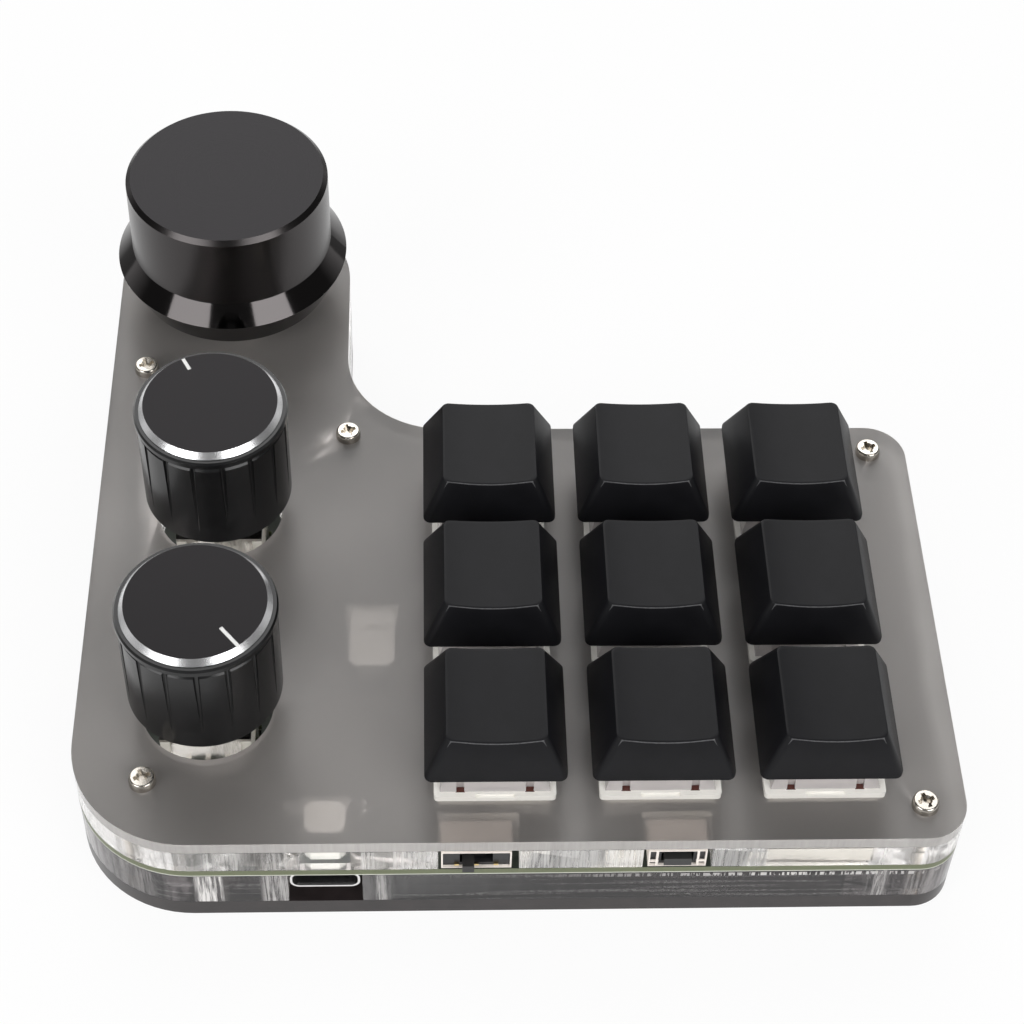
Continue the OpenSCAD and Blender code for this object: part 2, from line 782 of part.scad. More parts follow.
module encoder_bases() {
    flap_t = cover_t / 2;
    ring = 0.8;
    color([0.86, 0.85, 0.8]) encoders_all() difference() {
        union() {
            difference() {
                block([encoder_w, encoder_l - 2 * flap_t, cover_z]);
                translate([0, 0, encoder_floor]) cylinder(r = cavity_r, h = cover_z);
            }
            // journal for the rotor's hub
            translate([0, 0, encoder_floor - cut])
                cylinder(r = hub_r + run_gap + ring, h = 1.6 + cut);
        }
        translate([0, 0, encoder_floor]) cylinder(r = hub_r + run_gap, h = cover_z);
    }
}

module encoder_covers() {
    flap_t = cover_t / 2;
    color("silver") encoders_all() difference() {
        union() {
            block([encoder_w, encoder_l, cover_t], cover_z);
            translate([0, 0, encoder_h - cut]) cylinder(r = bushing_r, h = bushing_h + cut);
            for (s = [-1, 1]) {
                // flaps down the front and the back
                translate([0, s * (encoder_l - flap_t) / 2, 0])
                    block([flap_w, flap_t, cover_z + cut - 1], 1);
                // legs through the board
                translate([s * leg_x, 0, 0])
                    block([cover_t, leg_w, encoder_h + board_t + 0.6], -board_t - 0.6);
            }
        }
        translate([0, 0, cover_z - cut])
            cylinder(r = shaft_r + run_gap, h = cover_t + bushing_h + 1);
    }
}

module encoder_terminals() {
    color([0.8, 0.78, 0.72]) encoders_all() for (t = terminal_at) {
        s = sign(t[1]);
        translate([t[0], t[1], 0])
            block([terminal_w, 0.3, terminal_h + board_t + terminal_reach],
                  -board_t - terminal_reach);
        translate([t[0], s * (encoder_l / 2 + terminal_y + 0.15) / 2, terminal_h - 0.4])
            block([terminal_w, terminal_y + 0.15 - encoder_l / 2, 0.4]);
    }
}

// Snap dome that a pressed knob squashes
module push_domes() {
    r = 2.3;
    ball = (r * r + dome_h * dome_h) / (2 * dome_h);
    color("silver") encoders_all() translate([0, 0, encoder_floor]) intersection() {
        translate([0, 0, dome_h - ball]) difference() {
            sphere(ball);
            sphere(ball - 0.2);
        }
        cylinder(r = r, h = dome_h + 1);
    }
}

module encoder_rotor(i) {
    color([0.2, 0.2, 0.2]) translate([knob_at[i][0], knob_at[i][1], board_top]) difference() {
        union() {
            translate([0, 0, encoder_floor + free_gap])
                cylinder(r = hub_r, h = hub_top - encoder_floor - free_gap);
            // code disc with a toothed rim for the detent
            difference() {
                translate([0, 0, 3.2]) cylinder(r = cavity_r - free_gap, h = 1);
                for (a = [0:18:359]) rotate(a) translate([cavity_r - free_gap + 0.15, 0, 3])
                    cylinder(r = 0.4, h = 2);
            }
        }
        translate([0, 0, encoder_floor])
            block([drive_w + 2 * run_gap, drive_w + 2 * run_gap, encoder_h]);
    }
}

module knob_shaft(i) {
    stub_z = encoder_floor + dome_h + push_gap;
    color([0.75, 0.75, 0.76]) translate([knob_at[i][0], knob_at[i][1], board_top]) {
        translate([0, 0, stub_z]) cylinder(r = 1.2, h = 1);
        block([drive_w, drive_w, drive_top - stub_z - 0.7 + cut], stub_z + 0.7);
        difference() {
            translate([0, 0, drive_top]) cylinder(r = shaft_r, h = shaft_h - drive_top);
            // flat that turns the knob
            translate([-shaft_r - 1, shaft_r - shaft_flat, bushing_top + 1])
                cube([2 * shaft_r + 2, shaft_r, shaft_h]);
        }
    }
}

// ---- Knobs ----

// Blind bore with the shaft's flat, from the socket up past the shaft's tip
module shaft_socket() {
    difference() {
        translate([0, 0, socket_z - 1]) cylinder(r = shaft_r + push_gap, h = tip_z + 1.2 - socket_z);
        translate([-shaft_r - 1, shaft_r - shaft_flat + push_gap, bushing_z + 1])
            cube([2 * shaft_r + 2, shaft_r, shaft_h]);
    }
}

module big_knob() {
    color([0.2, 0.2, 0.21]) translate([column_x, big_y, plate_top]) difference() {
        rotate_extrude($fn = 128) difference() {
            polygon([
                [0, big_rise], [big_foot_r, big_rise], [skirt_r, skirt_z],
                [grip_r, skirt_z + skirt_r - grip_r + 0.6],
                [grip_r - 0.1, big_top - top_bevel],
                [grip_r - 0.1 - top_bevel, big_top], [0, big_top]
            ]);
            // hollow underside over the bushing
            translate([-1, big_rise - 1]) square([big_foot_r - 2.5 + 1, socket_z - big_rise + 1]);
        }
        shaft_socket();
        // hole for the set screw
        translate([0, 0, set_z]) rotate([-90, 0, 0]) cylinder(r = set_r, h = skirt_r + 1);
    }
}

module big_knob_screw() {
    from = shaft_r - shaft_flat + 2 * push_gap;
    color([0.3, 0.3, 0.3]) translate([column_x, big_y + from, plate_top + set_z])
        rotate([-90, 0, 0]) difference() {
            cylinder(r = set_r, h = 6);
            translate([0, 0, 4]) cylinder(r = 0.86, h = 3, $fn = 6);
        }
}

// Knob with a grooved grip. The grooves start turn degrees from the X axis.
module knob_body(i, turn) {
    h = knob_body_h;
    groove_z = h - rim_h - 0.4;
    grip_h = groove_z - foot_band;
    color([0.18, 0.18, 0.19]) translate([knob_at[i][0], knob_at[i][1], plate_top]) difference() {
        translate([0, 0, knob_rise]) difference() {
            rotate_extrude($fn = 96) difference() {
                polygon([
                    [0, 0], [knob_r - 0.5, 0], [knob_r, 0.5],
                    [knob_r, groove_z - 0.3], [knob_r - 0.3, groove_z],
                    [knob_r - 0.3, h - rim_h - 0.1], [knob_r + rim_out, h - rim_h + 0.1],
                    [knob_r + rim_out, h - 0.35], [knob_r, h], [0, h]
                ]);
                // seat of the metal disc
                translate([-1, h - seat_d]) square([disc_r + push_gap + 1, 3]);
            }
            // grooves that run out towards the foot
            for (n = [0:flutes - 1]) rotate(turn + n * 360 / flutes)
                translate([knob_r + flute_r * 0.35, 0, foot_band]) rotate([0, -0.8, 0])
                    cylinder(r1 = flute_r * 0.35, r2 = flute_r, h = grip_h + 0.2, $fn = 12);
        }
        // hollow underside over the bushing
        translate([0, 0, knob_rise - 1])
            cylinder(r = bushing_r + 1, h = socket_z - knob_rise + 1);
        shaft_socket();
    }
}

// Metal disc with a bright cut edge, and a short groove that marks the knob
module knob_disc(i, mark_angle, mark_from, mark_to) {
    bottom = knob_rise + knob_body_h - seat_d;
    top = knob_rise + knob_body_h + disc_proud;
    color([0.3, 0.3, 0.31]) translate([knob_at[i][0], knob_at[i][1], plate_top]) difference() {
        rotate_extrude($fn = 96)
            polygon([
                [0, bottom], [disc_r, bottom], [disc_r, top - ring_h],
                [disc_r - ring_w, top], [0, top]
            ]);
        rotate(mark_angle) translate([mark_from, -mark_w / 2, top - 0.12])
            cube([mark_to - mark_from, mark_w, 1]);
    }
}

module upper_knob_body() { knob_body(1, 11.3); }
module upper_knob_disc() { knob_disc(1, 117, 6.7, 9.2); }
module lower_knob_body() { knob_body(2, 2.9); }
module lower_knob_disc() { knob_disc(2, -51, 5.3, 9.3); }

// ---- Front parts ----

// Metal frame of a side switch, open at the front
module switch_frame(w) {
    difference() {
        translate([-w / 2, 0, 0]) cube([w, side_switch_l, side_switch_h]);
        translate([-w / 2 + frame_t, -1, frame_t])
            cube([w - 2 * frame_t, side_switch_l - frame_t + 1, side_switch_h - 2 * frame_t]);
    }
}

// Plastic body in the frame, with a slot of the given size for what moves in it
module switch_insert(w, slot_w, slot_h) {
    edge = frame_t + push_gap;
    l = side_switch_l - body_back - edge;
    difference() {
        translate([-w / 2 + edge, body_back, edge])
            cube([w - 2 * edge, l, side_switch_h - 2 * edge]);
        translate([-w / 2 + edge + body_t, body_back + body_t, edge + body_t / 2])
            cube([w - 2 * edge - 2 * body_t, l - 2 * body_t,
                  side_switch_h - 2 * edge - body_t]);
        translate([-slot_w / 2, body_back - 1, (side_switch_h - slot_h) / 2])
            cube([slot_w, body_t + 2, slot_h]);
    }
}

module slide_switch_shell() {
    color("silver") translate([slide_x, front_y + frame_back, board_top])
        switch_frame(slide_w);
}

module slide_switch_body() {
    color([0.12, 0.12, 0.12]) translate([slide_x, front_y + frame_back, board_top])
        switch_insert(slide_w, nub_w + slide_travel + 2 * free_gap, nub_h + 2 * free_gap);
}

module slide_switch_pins() {
    color([0.85, 0.68, 0.3]) translate([slide_x, front_y + frame_back, board_top])
        for (x = pin_pitch * [-1, 0, 1]) translate([x - pin_w / 2, body_back - 0.3, pin_low])
            cube([pin_w, 0.3, pin_h]);
}

module slide_nub() {
    color([0.15, 0.15, 0.15]) translate([slide_x - slide_travel / 2, front_y, slide_z]) {
        translate([-nub_w / 2, -nub_out, -nub_h / 2]) cube([nub_w, nub_out + 2, nub_h]);
        // carrier inside the body
        translate([-carrier_w / 2, carrier_y, -carrier_h / 2])
            cube([carrier_w, 1.6, carrier_h]);
    }
}

module push_switch_shell() {
    color("silver") translate([push_x, front_y + frame_back, board_top]) {
        switch_frame(push_w);
        // arms that hold the body from the front
        for (s = [-1, 1]) {
            translate([s * (push_w / 2 - 1.1) - 0.15, 0, 0]) cube([0.3, frame_t, side_switch_h]);
            translate([s * (push_w / 2 - 0.75) - 0.55, 0, 1]) cube([1.1, frame_t, 0.3]);
        }
    }
}

module push_switch_body() {
    color([0.12, 0.12, 0.12]) translate([push_x, front_y + frame_back, board_top])
        switch_insert(push_w, button_w + 2 * free_gap, button_h + 2 * free_gap);
}

module push_switch_button() {
    color([0.12, 0.12, 0.12]) translate([push_x, front_y, slide_z]) {
        translate([-button_w / 2, -button_out, -button_h / 2])
            cube([button_w, button_out + 2, button_h]);
        // collar that keeps the button in its body
        translate([-button_w / 2 - 0.7, carrier_y, -carrier_h / 2])
            cube([button_w + 1.4, 1.4, carrier_h]);
    }
}

module usb_section(inset) {
    round_rect(usb_w - 2 * inset, usb_h - 2 * inset, 1.25 - inset);
}

module usb_shell() {
    color("silver") translate([usb_x, front_y + usb_back, board_z - usb_h / 2])
        rotate([90, 0, 0]) mirror([0, 0, 1]) difference() {
            linear_extrude(usb_l) usb_section(0);
            translate([0, 0, -cut]) linear_extrude(usb_l - 1) usb_section(usb_wall);
        }
}

module usb_tongue() {
    color([0.1, 0.1, 0.1]) translate([usb_x, front_y + usb_back, board_z - usb_h / 2]) {
        translate([-3.35, 0.9, -0.35]) cube([6.7, usb_l - 1.9, 0.7]);
        translate([0, usb_l - 2.6, 0]) rotate([90, 0, 0]) mirror([0, 0, 1])
            linear_extrude(1.6 - push_gap) usb_section(usb_wall + push_gap);
    }
}

// ---- Board parts ----

// White light guides over the two lights, with cut corners and a shallow dimple
module ambient_leds() {
    c = 2 * led_corner;
    color([0.95, 0.95, 0.9]) for (i = [0, 1]) at([led_at[i]]) translate([0, 0, board_top]) {
        w = led_size[i][0];
        l = led_size[i][1];
        difference() {
            linear_extrude(led_h) polygon([for (q = [
                    [w, l - c], [w - c, l], [c - w, l], [-w, l - c],
                    [-w, c - l], [c - w, -l], [w - c, -l], [w, c - l]
                ]) q / 2]);
            translate([0, 0, led_h - 0.3]) cylinder(r = w * 0.35, h = 1);
        }
    }
}

module controller_chip() {
    color([0.12, 0.12, 0.12]) at([chip_at]) difference() {
        block([chip_w, chip_w, chip_h], board_z - chip_h);
        translate([-chip_w / 2 + 1, -chip_w / 2 + 1, board_z - chip_h - 0.1])
            cylinder(r = 0.3, h = 0.2);
    }
}

module crystal() {
    color("silver") at([chip_at + [0, chip_w / 2 + 2.2]])
        translate([0, 0, board_z - 0.8]) linear_extrude(0.8) round_rect(3.2, 2.5, 0.3);
}

module diodes() {
    color([0.15, 0.15, 0.15]) for (n = [1:9])
        at([key_at(n) - [0, diode_y]]) block([diode_l, diode_w, diode_h], board_z - diode_h);
}

module capacitors() {
    color([0.72, 0.6, 0.45]) {
        at(small_at) block([small_l, small_w, small_w], board_top);
        at([for (s = [-1, 1]) chip_at + [s * (chip_w / 2 + 2 * small_w), 0]])
            block([small_w, small_l, small_w], board_z - small_w);
    }
}

// ---- Nodes ----

base_plate();
lower_spacer();
circuit_board();
upper_spacer();
top_plate();
top_screws();
bottom_screws();
standoffs();
switch_bases();
switch_covers();
switch_contacts();
switch_springs();
for (n = [1:9]) {
    switch_stem(n);
    keycap(n);
}
encoder_bases();
encoder_covers();
encoder_terminals();
push_domes();
for (i = [0:2]) {
    encoder_rotor(i);
    knob_shaft(i);
}
big_knob();
big_knob_screw();
upper_knob_body();
upper_knob_disc();
lower_knob_body();
lower_knob_disc();
slide_switch_shell();
slide_switch_body();
slide_switch_pins();
slide_nub();
push_switch_shell();
push_switch_body();
push_switch_button();
usb_shell();
usb_tongue();
ambient_leds();
controller_chip();
crystal();
diodes();
capacitors();
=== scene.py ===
"""Macro keypad with knobs: finish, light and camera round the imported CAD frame."""

import math

import bmesh
import bpy
from mathutils import Matrix, Vector


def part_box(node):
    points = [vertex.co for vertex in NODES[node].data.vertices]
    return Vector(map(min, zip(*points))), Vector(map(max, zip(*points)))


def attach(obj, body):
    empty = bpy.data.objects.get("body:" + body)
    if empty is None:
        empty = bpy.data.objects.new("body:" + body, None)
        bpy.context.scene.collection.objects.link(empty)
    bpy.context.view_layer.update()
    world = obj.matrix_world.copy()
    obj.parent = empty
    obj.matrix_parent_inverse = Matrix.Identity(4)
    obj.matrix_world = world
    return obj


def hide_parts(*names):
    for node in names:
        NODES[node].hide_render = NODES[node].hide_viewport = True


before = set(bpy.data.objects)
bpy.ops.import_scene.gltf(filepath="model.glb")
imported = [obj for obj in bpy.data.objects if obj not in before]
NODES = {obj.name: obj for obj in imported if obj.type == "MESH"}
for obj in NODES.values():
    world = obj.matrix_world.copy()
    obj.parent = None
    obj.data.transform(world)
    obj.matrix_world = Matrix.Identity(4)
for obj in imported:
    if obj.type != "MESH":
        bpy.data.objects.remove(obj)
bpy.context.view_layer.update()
MM = 0.001
KEYS = range(1, 10)


# ---- Node helpers -------------------------------------------------------------------


class Shader:
    """A material under construction: adds nodes and links them by socket name."""

    def __init__(self, name):
        self.mat = bpy.data.materials.new(name)
        self.mat.use_nodes = True
        self.tree = self.mat.node_tree
        self.bsdf = self.tree.nodes["Principled BSDF"]
        self.out = self.tree.nodes["Material Output"]

    def add(self, kind, links=None, **values):
        """Adds a node: values set its properties or inputs, links join its inputs."""
        node = self.tree.nodes.new(kind)
        for key, value in values.items():
            if hasattr(node, key):
                setattr(node, key, value)
            else:
                node.inputs[key.replace("_", " ")].default_value = value
        for key, socket in (links or {}).items():
            self.tree.links.new(socket, node.inputs[key])
        return node

    def set(self, **values):
        for key, value in values.items():
            self.bsdf.inputs[key.replace("_", " ")].default_value = value
        return self

    def link(self, socket, name):
        self.tree.links.new(socket, self.bsdf.inputs[name])
        return self

    def place(self, stretch=(1, 1, 1), at=(0, 0, 0)):
        """Object coordinates in millimetres, stretched and moved."""
        coords = self.add("ShaderNodeTexCoord")
        mapping = self.add("ShaderNodeMapping", {"Vector": coords.outputs["Object"]})
        mapping.inputs["Scale"].default_value = [s / MM for s in stretch]
        mapping.inputs["Location"].default_value = [
            -a * s for a, s in zip(at, stretch)
        ]
        return mapping.outputs["Vector"]

    def axes(self, vector=None):
        """X, Y and Z of a vector, or of the place in millimetres."""
        return self.add("ShaderNodeSeparateXYZ", {0: vector or self.place()}).outputs

    def facing(self):
        """X, Y and Z of the direction that the surface faces."""
        return self.axes(self.add("ShaderNodeNewGeometry").outputs["Normal"])

    def noise(self, scale, detail=3, roughness=0.5, stretch=(1, 1, 1), vector=None):
        vector = vector or self.place(stretch)
        return self.add(
            "ShaderNodeTexNoise",
            {"Vector": vector},
            Scale=scale,
            Detail=detail,
            Roughness=roughness,
        ).outputs["Fac"]

    def ramp(self, factor, *stops):
        """Colour ramp: stops are (position, colour or grey level)."""
        node = self.add("ShaderNodeValToRGB", {"Fac": factor})
        ramp = node.color_ramp
        while len(ramp.elements) < len(stops):
            ramp.elements.new(0.5)
        for element, (where, colour) in zip(ramp.elements, stops):
            element.position = where
            element.color = rgba(colour)
        return node.outputs["Color"]

    def bump(self, height, strength, distance=0.02 * MM, normal=None):
        links = {"Height": height}
        if normal:
            links["Normal"] = normal
        return self.add(
            "ShaderNodeBump", links, Strength=strength, Distance=distance
        ).outputs["Normal"]

    def math(self, operation, a, b):
        node = self.add("ShaderNodeMath", operation=operation)
        for i, value in enumerate((a, b)):
            if isinstance(value, (int, float)):
                node.inputs[i].default_value = value
            else:
                self.tree.links.new(value, node.inputs[i])
        return node.outputs[0]

    def surface(self, socket):
        self.tree.links.new(socket, self.out.inputs["Surface"])
        return self

    def blend(self, name, factor, first, second):
        """Gives an input the first value where factor is 0, the second where it is 1."""
        colour = name == "Base Color"
        kind, ends, result = ("RGBA", (6, 7), 2) if colour else ("FLOAT", (2, 3), 0)
        mix = self.add("ShaderNodeMix", data_type=kind)
        self.tree.links.new(factor, mix.inputs[0])
        for i, value in zip(ends, (first, second)):
            if hasattr(value, "is_output"):
                self.tree.links.new(value, mix.inputs[i])
            else:
                mix.inputs[i].default_value = rgba(value) if colour else value
        return self.link(mix.outputs[result], name)

    def mask(self, name, factor, value):
        """Where factor is 1, the input takes this value in place of what it has."""
        before = self.bsdf.inputs[name].links[0].from_socket
        return self.blend(name, factor, before, value)

    def between(self, low, high):
        """1 where the height above the ground in millimetres lies between low and high."""
        z = self.axes()["Z"]
        above, below = self.math("GREATER_THAN", z, low), self.math("LESS_THAN", z, high)
        return self.math("MULTIPLY", above, below)

    def pass_light(self, colour):
        """Lets the lamps' light through to what lies behind the clear material."""
        path = self.add("ShaderNodeLightPath")
        clear = self.add("ShaderNodeBsdfTransparent", Color=rgba(colour))
        links = {0: path.outputs["Is Shadow Ray"], 1: self.bsdf.outputs[0]}
        mix = self.add("ShaderNodeMixShader", {**links, 2: clear.outputs[0]})
        return self.surface(mix.outputs[0])


def rgba(colour):
    if isinstance(colour, (int, float)):
        return (colour, colour, colour, 1)
    return (*colour, 1) if len(colour) == 3 else colour


def map_range(tree, value, source, target):
    """Map Range node; each end of the target is a number or a socket."""
    node = tree.nodes.new("ShaderNodeMapRange")
    tree.links.new(value, node.inputs["Value"])
    node.inputs["From Min"].default_value, node.inputs["From Max"].default_value = source
    for name, end in zip(("To Min", "To Max"), target):
        if hasattr(end, "is_output"):
            tree.links.new(end, node.inputs[name])
        else:
            node.inputs[name].default_value = end
    return node.outputs[0]


def paint(finish, *names):
    """Puts a material on the CAD nodes of these names."""
    for name in names:
        data = NODES[name].data
        data.materials.clear()
        data.materials.append(finish.mat)


def heights(name):
    """Lowest and highest level of a CAD node in millimetres."""
    low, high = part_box(name)
    return low[2] / MM, high[2] / MM


def middle(name):
    """Middle of a CAD node's box in millimetres."""
    low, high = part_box(name)
    return [(a + b) / 2 / MM for a, b in zip(low, high)]


def new_object(name, data, place=(0, 0, 0)):
    obj = bpy.data.objects.new(name, data)
    obj.location = place
    bpy.context.scene.collection.objects.link(obj)
    return obj


# ---- Materials ----------------------------------------------------------------------

# Distance from key to key in millimetres, the same as in the CAD source
KEY_PITCH = 21.0


def moulded(name, colour, roughness=0.45, grain=0.15, size=6.0, spread=0.25):
    """Moulded plastic: fine skin texture, roughness and colour that vary a little."""
    s = Shader(name)
    fine = s.noise(size, 4, 0.6)
    broad = s.noise(0.35, 2)
    low = [c * (1 - spread) for c in colour]
    high = [c * (1 + spread) for c in colour]
    s.link(s.ramp(broad, (0.3, low), (0.7, high)), "Base Color")
    s.link(s.ramp(fine, (0.3, roughness * 0.9), (0.7, roughness * 1.1)), "Roughness")
    s.link(s.bump(fine, grain), "Normal")
    return s


def metal(name, colour, roughness=0.25, scratch=0.08, spread=0.1):
    """Plated or machined metal with faint marks."""
    s = Shader(name).set(Metallic=1.0)
    marks = s.noise(3.0, 5, 0.65)
    low = [c * (1 - spread) for c in colour]
    s.link(s.ramp(marks, (0.35, low), (0.65, colour)), "Base Color")
    s.link(s.ramp(marks, (0.3, roughness * 0.8), (0.7, roughness * 1.3)), "Roughness")
    s.link(s.bump(marks, scratch), "Normal")
    return s


def turned_metal(name, colour, centre, roughness=0.3, rings=5.0, depth=0.05):
    """Metal turned on a lathe: fine rings about the knob's axis."""
    s = Shader(name).set(Metallic=1.0)
    where = s.place(at=(centre[0], centre[1], 0))
    flat = s.add("ShaderNodeVectorMath", {0: where}, operation="MULTIPLY")
    flat.inputs[1].default_value = (1, 1, 0)
    radius = s.add("ShaderNodeVectorMath", {0: flat.outputs[0]}, operation="LENGTH")
    line = s.add("ShaderNodeCombineXYZ", {"X": radius.outputs["Value"]})
    marks = s.noise(rings, 4, 0.7, vector=line.outputs[0])
    low = [c * 0.85 for c in colour]
    s.link(s.ramp(marks, (0.3, low), (0.7, colour)), "Base Color")
    s.link(s.ramp(marks, (0.3, roughness * 0.8), (0.7, roughness * 1.2)), "Roughness")
    s.link(s.bump(marks, depth, 0.01 * MM), "Normal")
    return s


# How far inside a sheet's faces its sawn edge begins, in millimetres
SAWN_INSET = 0.1
# How far from a face's level a height may lie and still count as that face
FACE_TOLERANCE = 0.01
# Half the width of the case in millimetres
CASE_HALF = 57.1
# Tone of a column of frost and painted light where its mark names none, and how warm each
# tone is
PALE = 0.9
WARMTH = (1, 0.975, 0.95)
# Sawn edges carry fine upright cuts: noise scale, detail and roughness
CUTS = (2.2, 4, 0.7)

# Columns in the sawn edges of the clear sheets, partly frost and partly painted light and
# shade, from left to right: the place in millimetres along the front edge, how strongly the
# edge is frosted and painted there, and its tone if not pale.
# A colour ramp holds 32 of them at most
LOWER_MARKS = (
    (-57, 0.08), (-54, 0.3), (-46.9, 0.4), (-46, 0.04), (-41.3, 0.04), (-40.9, 0.95),
    (-37.8, 0.95), (-37.4, 0.04), (-33, 0.04), (-32.3, 0.7), (-29.3, 0.7), (-19.9, 0.22),
    (-18.6, 0.22), (-18.3, 0.1), (-17.9, 0.7), (-16.8, 0.6), (-16.2, 0.15), (-15.5, 0),
    (44.2, 0), (44.8, 0.3), (45.8, 0.25), (46.1, 0.7), (47.4, 0.6), (47.9, 0.02),
    (49.5, 0.05), (50.5, 0.4), (54.5, 0.35), (56.8, 0.08),
)
UPPER_MARKS = (
    (-47.6, 0.1), (-40, 0.1), (-39.5, 0.7), (-38.7, 0.3, 0.3),
    (-35.5, 0.5), (-34.7, 0.3, 0.3), (-32.5, 0.1), (-32, 0.45), (-26, 0),
    (-20.2, 0), (-19.8, 0.6), (-16.2, 0.1), (-15.8, 0.5), (-9, 0.35),
    (0.3, 0.6), (3.9, 0.6), (4.2, 0.9, 0.1), (5.4, 0.8, 0.5),
    (9.9, 0.8, 0.5), (10.3, 0.9, 0.1), (11, 0.85, 0.1), (11.4, 0.65), (15.4, 0.6),
    (24.4, 0.1), (24.8, 0.8, 0.7), (26.6, 0.8, 0.4), (30.4, 0.75, 0.35), (31.2, 0.8, 0.1),
    (31.6, 0), (45.8, 0), (46.4, 0.6), (47, 0.1),
)


def clear_acrylic(name, low, high, tint, marks, lines):
    """Clear cast sheet. Its sawn edges keep fine upright cuts, and columns that are partly
    frost and partly painted light and shade.

    lines is how strong the pale level lines are, partly saw marks and partly painted light.
    Where it is 0 there are none, and there is no row of pale ticks at the upper edge
    either.
    """
    s = Shader(name).set(IOR=1.45)
    sawn = s.between(low + SAWN_INSET, high - SAWN_INSET)
    cuts = s.noise(*CUTS, stretch=(1, 1, 0.04))
    swell = s.math("MULTIPLY", s.noise(0.4, 1, stretch=(1, 1, 0.02)), sawn)
    waves = s.bump(swell, 0.5, 0.3 * MM)
    s.link(s.bump(s.math("MULTIPLY", cuts, sawn), 0.5, 0.05 * MM, waves), "Normal")
    s.blend("Roughness", sawn, 0.0, s.ramp(cuts, (0.4, 0.01), (0.7, 0.25)))
    along = map_range(s.tree, s.axes()["X"], (-CASE_HALF, CASE_HALF), (0, 1))
    stops, levels, tones = [], [], []
    for x, level, *tone in marks:
        stops.append((x + CASE_HALF) / (2 * CASE_HALF))
        levels.append(level)
        tones.append([w * (tone[0] if tone else PALE) for w in WARMTH])
    columns = s.ramp(along, *zip(stops, levels))
    tone = s.ramp(along, *zip(stops, tones))
    # Painted light and shade, partly frost: the columns make the sawn edge pale or dark by
    # its place along the edge
    frost_and_painted_light = s.math("MULTIPLY", columns, s.ramp(cuts, (0.4, 0.15), (0.56, 1.0)))
    if lines:
        # Pale level lines in dots, partly saw marks and partly painted light
        level = s.noise(1.5, 2, 0.6, stretch=(0.02, 0.02, 1))
        dots = s.ramp(s.noise(1.8, 3, 0.7), (0.4, 0.2), (0.6, 1.0))
        level = s.math("MULTIPLY", s.ramp(level, (0.55, 0.0), (0.6, 1.0)), dots)
        frost_and_painted_light = s.math("MAXIMUM", frost_and_painted_light, s.math("MULTIPLY", level, lines))
        teeth = s.noise(2.6, 2, 0.5, stretch=(1, 1, 0.1))
        ticks = s.ramp(teeth, (0.46, 0.0), (0.53, 1.0))
        share = s.ramp(along, (0.45, 0.1), (0.8, 0.85), (0.96, 0.7), (0.99, 0.15))
        ticks = s.math("MULTIPLY", ticks, share)
        row = s.math("MULTIPLY", ticks, s.between(high - 1.0, high - 0.3))
        frost_and_painted_light = s.math("MAXIMUM", frost_and_painted_light, row)
    frost_and_painted_light = s.math("MULTIPLY", frost_and_painted_light, sawn)
    s.blend("Transmission Weight", frost_and_painted_light, 1.0, 0.0)
    s.blend("Base Color", frost_and_painted_light, tint, tone)
    return s.pass_light((0.93, 0.95, 0.94))


# Width in millimetres of the paler band of painted light along the plate's right edge
RIM_LIGHT = 4.5


def frosted_acrylic(name, low, high):
    """Frosted sheet: a grey haze blurs what lies under it, and its sides are pale."""
    s = Shader(name).set(IOR=1.43)
    cloud = s.noise(0.05, 2)
    grain = s.noise(9.0, 2)
    cuts = s.noise(*CUTS, stretch=(1, 1, 0.04))
    side = s.between(low + FACE_TOLERANCE, high - FACE_TOLERANCE)
    top = s.between(high - FACE_TOLERANCE, high + 1)
    # Painted light: the haze turns paler in a band along the plate's right edge
    margin = s.math("SUBTRACT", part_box("top_plate")[1][0] / MM, s.axes()["X"])
    rim = map_range(s.tree, margin, (RIM_LIGHT, RIM_LIGHT / 3), (0.0, 0.4))
    cloud = s.math("ADD", cloud, rim)
    haze = s.ramp(
        cloud,
        (0.3, (0.425, 0.405, 0.394)),
        (0.7, (0.465, 0.444, 0.433)),
        (0.95, (0.61, 0.588, 0.575)),
    )
    edge = s.ramp(cuts, (0.3, (0.47, 0.45, 0.435)), (0.7, (0.57, 0.55, 0.532)))
    s.blend("Base Color", side, haze, edge)
    s.blend("Transmission Weight", side, 0.79, 0.3)
    s.blend("Roughness", top, 0.06, s.ramp(grain, (0.3, 0.34), (0.7, 0.40)))
    s.link(s.bump(grain, 0.08), "Normal")
    return s.pass_light((0.85, 0.84, 0.83))


def board(name, low, high):
    """Green-black solder mask over olive laminate. Its milled edge carries a painted
    highlight, a pale line at the foot.
    """
    s = Shader(name).set(Roughness=0.4)
    side = s.between(low + FACE_TOLERANCE, high - FACE_TOLERANCE)
    fibres = s.noise(3.0, 4, 0.7, stretch=(1, 1, 4))
    broad = s.noise(0.3, 3)
    mask = s.ramp(broad, (0.3, (0.013, 0.018, 0.014)), (0.7, (0.021, 0.028, 0.022)))
    edge = s.ramp(fibres, (0.3, (0.10, 0.122, 0.056)), (0.7, (0.17, 0.186, 0.10)))
    s.blend("Base Color", side, mask, edge)
    # Painted highlight: a pale line along the foot of the milled edge
    foot = s.between(low + FACE_TOLERANCE, low + 0.15)
    s.mask("Base Color", foot, (0.82, 0.83, 0.74))
    s.link(s.bump(fibres, 0.1), "Normal")
    return s


# A face is a slope where the upward part of its normal is less than this
SLOPE = 0.95


